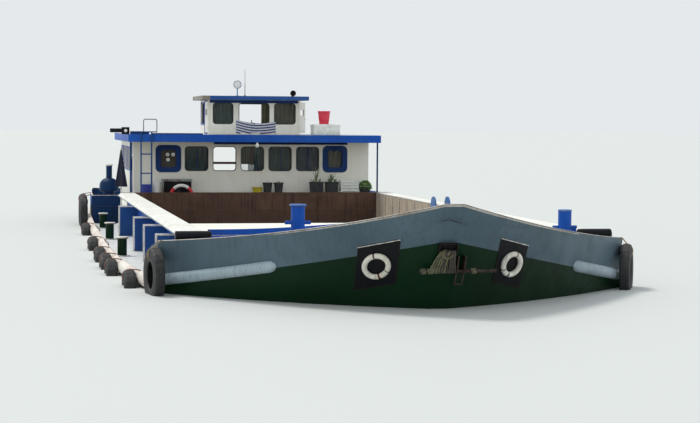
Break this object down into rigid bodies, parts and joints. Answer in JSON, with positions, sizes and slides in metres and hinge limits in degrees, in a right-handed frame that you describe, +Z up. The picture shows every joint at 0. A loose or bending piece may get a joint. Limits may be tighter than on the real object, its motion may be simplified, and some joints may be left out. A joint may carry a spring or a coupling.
{
  "type": "river barge",
  "caption": "Self-propelled steel river barge with an open hold, raised bow bulwark, tyre fenders, aft deckhouse and small wheelhouse.",
  "frame": {"origin": "under the middle of the barge, in the plane of its flat bottom", "axes": "+X to the bow, +Y to port, +Z up"},
  "size_m": [30, 10.3916, 6.66],
  "materials": {
    "hull_green": "worn dark green boat enamel, scuffed and dusty",
    "bulwark_grey": "worn blue grey boat enamel with a pale edge",
    "blue_paint": "bright blue boat enamel, faded, with rust at the edges",
    "cream_paint": "cream enamel with rust streaks",
    "white_paint": "white enamel, chipped and rust stained",
    "black_paint": "flat black paint",
    "rusty_steel": "brown rusted steel plate",
    "bare_steel": "weathered galvanised steel",
    "tyre_rubber": "old dusty tyre rubber",
    "window_glass": "clear window glass",
    "bronze": "dull cast bronze",
    "painted_wood": "weathered painted timber",
    "white_plastic": "weathered white plastic",
    "red_plastic": "moulded red plastic",
    "navy_cloth": "folded dark blue parasol cloth",
    "striped_cloth": "woven cotton with plain blue and white stripes"
  },
  "bodies": {
    "hull": {"hull_bow": "hull_green", "hull_wing_port": "hull_green", "hull_wing_starboard": "hull_green", "hull_bottom": "rusty_steel", "hull_stern": "hull_green", "bow_bulwark": "bulwark_grey", "fender_rail_port": "tyre_rubber", "fender_rail_starboard": "tyre_rubber", "shoulder_tyre_port": "tyre_rubber", "shoulder_tyre_starboard": "tyre_rubber", "coaming_port": "blue_paint", "coaming_starboard": "blue_paint", "coaming_cap_port": "white_paint", "coaming_cap_starboard": "white_paint", "coaming_aft": "rusty_steel", "fore_trunk": "cream_paint", "bow_bollard_port": "blue_paint", "bow_bollard_starboard": "blue_paint", "shoulder_bitts_port": "black_paint", "shoulder_bitts_starboard": "black_paint", "windlass_frame": "blue_paint", "hawse_box": "black_paint", "stem_bar": "bare_steel", "bow_eye_port": "white_paint", "bow_eye_starboard": "white_paint", "poop_bulwark": "blue_paint", "hooded_vent": "blue_paint", "parasol": "navy_cloth", "deck_table": "painted_wood", "plant_bench": "painted_wood", "life_ring": "white_plastic", "ladder": "blue_paint", "house_front": "cream_paint", "house_port": "cream_paint", "house_starboard": "cream_paint", "house_back": "cream_paint", "house_roof": "blue_paint", "house_glass_front": "window_glass", "roof_tank": "white_plastic", "bucket": "red_plastic", "wheelhouse_front": "cream_paint", "wheelhouse_back": "cream_paint", "wheelhouse_port": "cream_paint", "wheelhouse_starboard": "cream_paint", "wheelhouse_glass": "window_glass", "wheelhouse_roof": "blue_paint", "sill_cloth": "striped_cloth", "helm_stand": "painted_wood", "engine_block": "hull_green"},
    "screw": {"propeller": "bronze"},
    "rudder_body": {"rudder": "rusty_steel"},
    "helm": {"helm_wheel": "painted_wood"},
    "windlass": {"windlass_drum": "blue_paint"},
    "port_door": {"house_door_port": "blue_paint"},
    "starboard_door": {"house_door_starboard": "blue_paint"},
    "back_door": {"house_door_back": "blue_paint"},
    "wheelhouse_port_door": {"wheelhouse_door_port": "cream_paint"},
    "wheelhouse_starboard_door": {"wheelhouse_door_starboard": "cream_paint"},
    "hatch_port": {"engine_hatch_port": "blue_paint"},
    "hatch_starboard": {"engine_hatch_starboard": "blue_paint"}
  },
  "joints": [
    {"name": "propeller_spin", "type": "hinge", "parent": "hull", "child": "screw", "pos_m": [-13.25, 0, 0.62], "axis": [1, 0, 0], "continuous": true},
    {"name": "rudder_turn", "type": "hinge", "parent": "hull", "child": "rudder_body", "pos_m": [-14.15, 0, 0.6], "axis": [0, 0, 1], "range_deg": [-35, 35]},
    {"name": "helm_turn", "type": "hinge", "parent": "hull", "child": "helm", "pos_m": [-9.44, 0.13, 4.7], "axis": [1, 0, 0], "range_deg": [-421, 421]},
    {"name": "windlass_spin", "type": "hinge", "parent": "hull", "child": "windlass", "pos_m": [14.05, 0, 3.48], "axis": [0, 1, 0], "continuous": true},
    {"name": "house_door_port_swing", "type": "hinge", "parent": "hull", "child": "port_door", "pos_m": [-8.528, 3.5, 3.52], "axis": [0, 0, -1], "range_deg": [0, 100]},
    {"name": "house_door_starboard_swing", "type": "hinge", "parent": "hull", "child": "starboard_door", "pos_m": [-8.528, -3.5, 3.52], "axis": [0, 0, 1], "range_deg": [0, 100]},
    {"name": "house_door_back_swing", "type": "hinge", "parent": "hull", "child": "back_door", "pos_m": [-13.6, 1.892, 3.52], "axis": [0, 0, -1], "range_deg": [0, 100]},
    {"name": "wheelhouse_door_port_swing", "type": "hinge", "parent": "hull", "child": "wheelhouse_port_door", "pos_m": [-9.008, 1.51, 5.2], "axis": [0, 0, -1], "range_deg": [-25, 70]},
    {"name": "wheelhouse_door_starboard_swing", "type": "hinge", "parent": "hull", "child": "wheelhouse_starboard_door", "pos_m": [-9.008, -1.25, 5.2], "axis": [0, 0, 1], "range_deg": [0, 95]},
    {"name": "hatch_port_lift", "type": "hinge", "parent": "hull", "child": "hatch_port", "pos_m": [-9.45, 1.04, 2.5503], "axis": [-1, 0, 0], "range_deg": [0, 90]},
    {"name": "hatch_starboard_lift", "type": "hinge", "parent": "hull", "child": "hatch_starboard", "pos_m": [-9.45, -1.04, 2.5503], "axis": [1, 0, 0], "range_deg": [0, 90]}
  ],
  "couplings": [
    {"joint": "helm_turn", "follows": "rudder_turn", "ratio": 12}
  ]
}
